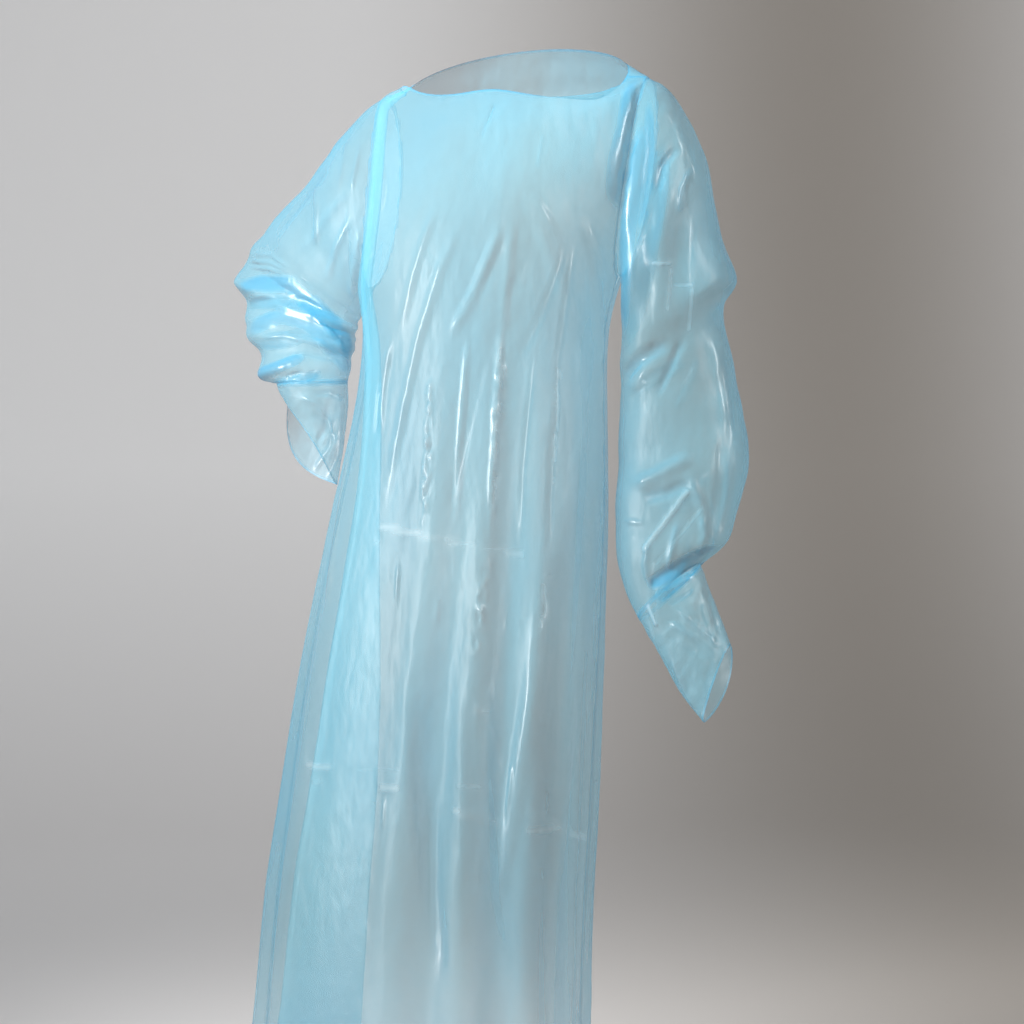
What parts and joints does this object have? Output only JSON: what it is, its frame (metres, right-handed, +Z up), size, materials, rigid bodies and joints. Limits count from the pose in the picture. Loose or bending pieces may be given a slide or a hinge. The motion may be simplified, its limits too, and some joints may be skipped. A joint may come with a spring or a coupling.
{
  "type": "protective film gown",
  "caption": "Long hollow protective gown of thin see-through film with a wide boat neck, loose sleeves and film cuffs over the hands, in its worn pose.",
  "frame": {"origin": "midway between the shoulders at the height of the shoulder seams, where the wearer's shoulders hold the gown up", "axes": "+Z up, -Y the way the front faces, +X towards the wearer's left"},
  "size_m": [0.8017, 0.3411, 1.3685],
  "materials": {
    "film": "thin translucent light-blue polyethylene film, glossy, softly crinkled"
  },
  "bodies": {
    "root": {"front": "film", "back": "film", "sleeve_right": "film", "sleeve_left": "film", "cuff_right": "film", "cuff_left": "film"}
  },
  "joints": []
}
